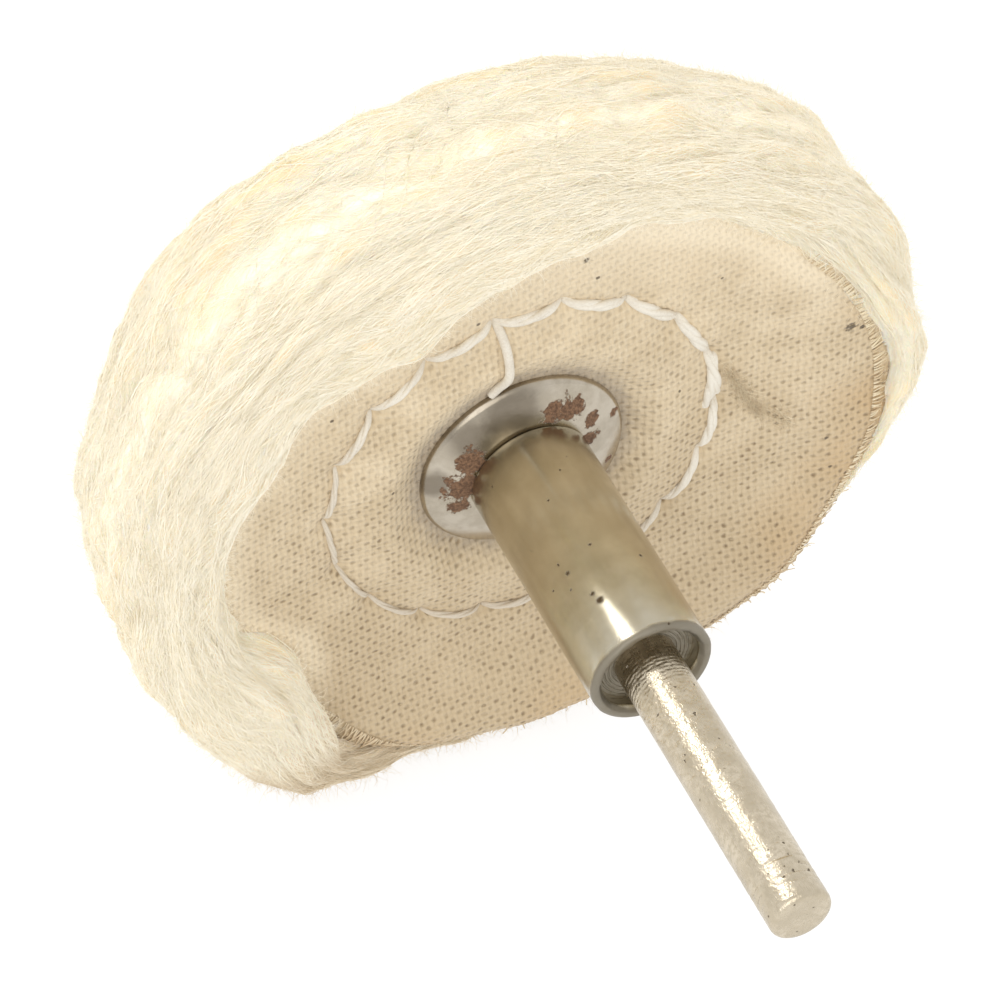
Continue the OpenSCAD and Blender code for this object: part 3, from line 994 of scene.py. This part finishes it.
for letter, seed, reach in (("a", 15, 2.4), ("b", 18, 2.8), ("c", 19, 3.2), ("d", 20, 3.6), ("e", 21, 3.0)):
    fibrePieces.append(wisps("edge_hairs_" + letter, 6000, seed, edgeHairs, (0.8, reach), (0.016, 0.03)))
fibrePieces.append(wisps("lip_hairs", 6000, 16, lipHairs, (0.7, 2.2), (0.014, 0.024)))
for piece in fibrePieces:
    place(piece, looseCotton, "calico")
print("frayed rim made")

# cloth discs
front = disc("front_disc", 0.0, 84, 560, edgeAt, relief=0.06, curl=1.0)
place(front, frontCalico, "calico", plyNames[0])
back = disc("back_disc", 1.0, 64, 300, lambda theta: cloth["backEdge"] + 0 * theta, relief=0.06)
place(back, backCalico, "calico", plyNames[-1])


def fringe(name, seed, first, last, spacing, reach):
    # yarn ends that the cut edge has let go, folding back over the rim
    rng = np.random.default_rng(seed)
    rimRadius = fluff["rimRadius"]
    count = int(math.radians(last - first) * rimRadius / spacing)
    theta0 = np.radians(np.linspace(first, last, count)) + rng.normal(0, 0.15, count) * spacing / rimRadius
    s = np.linspace(0, 1, 12)[None, :]
    start = edgeAt(theta0)[:, None] - 1.8
    length = rng.uniform(*reach, (count, 1))
    lay = rng.normal(0, 0.16, (count, 1))
    bend = rng.uniform(0.2, 1.3, (count, 1))
    r = start + length * np.sin(bend * s) / bend
    backward = length * (1 - np.cos(bend * s)) / bend
    theta = theta0[:, None] + (lay * s + 0.05 * np.sin(s * 5 + lay * 40)) * length / rimRadius
    y = discSurface(np.minimum(r, cloth["curlTo"]), theta, 0) + bentBack(r, theta)
    lift = 0.14 + rng.uniform(0, 0.2, (count, 1)) * s
    paths = around(r, theta, y - cloth["plyThickness"] / 2 - lift + backward)
    thickness = rng.uniform(0.06, 0.12, (count, 1)) * (1 - 0.45 * s)
    return strands(name, paths, thickness, 5, rng.uniform(0, 1, count))


place(fringe("edge_fringe", 81, 230, 345, 0.3, (2.0, 3.3)), fringeCotton, "calico")
place(fringe("edge_fringe_right", 82, -14, 32, 0.36, (1.6, 3.2)), fringeCotton, "calico")
for index, node in enumerate(plyNames[1:-1], start=1):
    near = index < cloth["nearDiscs"]

    def innerEdge(theta, index=index, near=near):
        ragged = softNoise(np.cos(theta) * 4, index * 1.7, np.sin(theta) * 4, 61)
        return (edgeAt(theta) if near else cloth["innerEdge"] + 0 * theta) + 0.4 * ragged - 0.3

    rows, columns, curl = (30, 240, 0.9 - 0.08 * index) if near else (20, 96, 0.0)
    share = index / (len(plyNames) - 1)
    piece = disc("disc_%02d" % (index + 1), share, rows, columns, innerEdge, curl=curl)
    place(piece, plyCalico, "calico", node)
print("cloth discs made")

stitch = {
    "strands": 3,
    "strandTurn": 2.094,     # a third of a turn between them
    "strand": 0.27,          # radius of one
    "spread": 0.2,
    "wideAt": 40,            # stitches round this angle are the plump ones
    "pitch": 7.5,
    "height": 0.22,
    "sink": 0.28,
    "bow": 0.12,
    "tail": 0.46,            # radius of the thread's loose end
}


def stitchPaths(share, ends, seed):
    # twisted strands over each gap between two holes
    rng = np.random.default_rng(seed)
    s = np.linspace(0, 1, 25)
    paths, radii = [], []
    for startX, startZ, endX, endZ in ends:
        span = math.hypot(endX - startX, endZ - startZ)
        alongX, alongZ = (endX - startX) / span, (endZ - startZ) / span
        turn = rng.uniform(0, 6.28)
        middle = math.atan2(startZ + endZ, startX + endX)
        plump = 0.95 + 0.36 * math.cos(middle - math.radians(stitch["wideAt"])) + rng.uniform(-0.06, 0.06)
        arch = np.clip(np.sin(math.pi * s), 0, 1) ** 0.45
        bow = stitch["bow"] * np.sin(math.pi * s) * rng.uniform(0.3, 1.2)
        for strand in range(stitch["strands"]):
            spin = turn + strand * stitch["strandTurn"] + s * span / stitch["pitch"] * 2 * math.pi
            side = bow + plump * stitch["spread"] * np.cos(spin) * (0.4 + 0.6 * arch)
            x = startX + alongX * span * s + alongZ * side
            z = startZ + alongZ * span * s - alongX * side
            theta, r = np.arctan2(z, x), np.hypot(x, z)
            lift = arch * (stitch["height"] + stitch["sink"]) - stitch["sink"]
            lift = lift + 0.16 * np.sin(spin) * arch + rng.uniform(-0.03, 0.06)
            sign = -1 if share == 0 else 1
            y = discSurface(r, theta, share) + sign * (cloth["plyThickness"] / 2 + lift)
            paths.append(np.stack([x, y, z], -1))
            radii.append(plump * stitch["strand"] * (0.8 + 0.3 * arch))
    return np.array(paths), np.array(radii)


holes = seamRadius * np.stack([np.cos(holeAngles), np.sin(holeAngles)], -1)
backEnds = [(*first, *second) for first, second in zip(holes, np.roll(holes, -1, 0))]
frontEnds = backEnds + [(19.6, 5.6, 18.9, -1.4)]
for name, share, ends, nodeName in (("front_stitches", 0.0, frontEnds, "needle_thread"),
                                    ("back_stitches", 1.0, backEnds, "bobbin_thread")):
    paths, radii = stitchPaths(share, ends, 71)
    place(strands(name, paths, radii, 8), sewingCotton, "cotton_thread", nodeName)


def laidPath(spots, above, count=40):
    # a smooth path over the face through (x, z) spots
    spots = np.array(spots, float)
    t = np.linspace(0, len(spots) - 1, count)
    x = np.interp(t, np.arange(len(spots)), spots[:, 0])
    z = np.interp(t, np.arange(len(spots)), spots[:, 1])
    kernel = np.hanning(15) / np.hanning(15).sum()
    x = np.convolve(np.pad(x, 7, "edge"), kernel, "valid")
    z = np.convolve(np.pad(z, 7, "edge"), kernel, "valid")
    lift = np.interp(t, np.arange(len(above)), above)
    return onFace(np.hypot(x, z), np.arctan2(z, x), lift)


tail = laidPath(
    [(-2.5, 19.9), (-2.1, 18.0), (-1.9, 16.0), (-1.9, 14.0), (-2.1, 12.2), (-2.5, 10.8), (-3.0, 9.8)],
    [-0.3, 0.35, 0.5, 0.5, 0.45, 0.3, 0.1])[None]
tailRadii = np.full(tail.shape[:2], stitch["tail"])
place(strands("thread_tail", tail, tailRadii, 8), sewingCotton, "cotton_thread")


def tuftHairs(rng, count):
    # loose fibres of a broken yarn, lying on the face to the right of the seam
    along = rng.uniform(0, 1, count)
    x = np.interp(along, [0, 0.35, 0.7, 1], [20.8, 22.6, 24.4, 27.6]) + rng.normal(0, 0.35, count)
    z = np.interp(along, [0, 0.35, 0.7, 1], [3.2, -0.6, -4.0, -6.2]) + rng.normal(0, 0.45, count)
    root = onFace(np.hypot(x, z), np.arctan2(z, x), rng.uniform(0.05, 0.25, count))
    return root, np.tile([0.55, -0.05, -0.83], (count, 1)) * rng.choice([-1, 1], (count, 1))


tuft = wisps("loose_tuft", 420, 17, tuftHairs, (0.8, 2.6), (0.016, 0.03), points=8)
place(tuft, fringeCotton, "calico")
print("sewing made")

# studio
studio = {
    "floorHalf": 3,
    "floorColour": rgb(0.25, 0.25, 0.25),
    "floorGlow": 0.8,
    "white": rgb(1, 1, 1),
    "world": 1.0,
    "key": 1.15,
    "fill": 1.15,
}
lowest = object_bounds()[0][2]
floorMesh = bpy.data.meshes.new("floor")
half = studio["floorHalf"]
floorCorners = [(x * half, y * half, lowest) for x, y in ((-1, -1), (1, -1), (1, 1), (-1, 1))]
floorMesh.from_pydata(floorCorners, [], [(0, 1, 2, 3)])
floor = bpy.data.objects.new("floor", floorMesh)
bpy.context.scene.collection.objects.link(floor)
floorFinish = Finish("pale floor")
floorFinish.set({"Base Color": studio["floorColour"], "Roughness": 0.9,
                 "Emission Color": studio["white"], "Emission Strength": studio["floorGlow"]})
floor.data.materials.append(floorFinish.material)

world = bpy.data.worlds.new("studio")
world.use_nodes = True
background = world.node_tree.nodes["Background"].inputs
background["Color"].default_value = studio["white"]
background["Strength"].default_value = studio["world"]
bpy.context.scene.world = world


def softbox(name, spot, aim, size, power):
    lamp = bpy.data.lights.new(name, "AREA")
    lamp.shape, lamp.size, lamp.energy = "SQUARE", size, power
    holder = bpy.data.objects.new(name, lamp)
    holder.location = spot
    holder.rotation_euler = (Vector(aim) - Vector(spot)).to_track_quat("-Z", "Y").to_euler()
    bpy.context.scene.collection.objects.link(holder)


softbox("key softbox", (-0.24, 0.42, 0.49), (0, 0, 0), 0.17, studio["key"])
softbox("front softbox", (-0.25, -0.4, 0.45), (0, 0.02, 0), 0.5, studio["fill"])

view = {
    "azimuth": -24.8,
    "elevation": 49.0,
    "target": (0.0, 0.0264, 0.0),
    "distance": 0.5,
    "lens": 193.7,
    "shift": (-0.0298, -0.0284),
    "sensor": 36,
    "clip": (0.01, 20),
}
camera = bpy.data.objects.new("camera", bpy.data.cameras.new("camera"))
camera.data.lens = view["lens"]
camera.data.sensor_width = view["sensor"]
camera.data.shift_x, camera.data.shift_y = view["shift"]
camera.data.clip_start, camera.data.clip_end = view["clip"]
azimuth, elevation = math.radians(view["azimuth"]), math.radians(view["elevation"])
away = Vector((math.sin(azimuth) * math.cos(elevation), -math.cos(azimuth) * math.cos(elevation),
               math.sin(elevation)))
camera.location = Vector(view["target"]) + away * view["distance"]
camera.rotation_euler = away.to_track_quat("Z", "Y").to_euler()
bpy.context.scene.collection.objects.link(camera)
bpy.context.scene.camera = camera
bpy.context.scene.view_settings.view_transform = "Standard"
print("studio made")
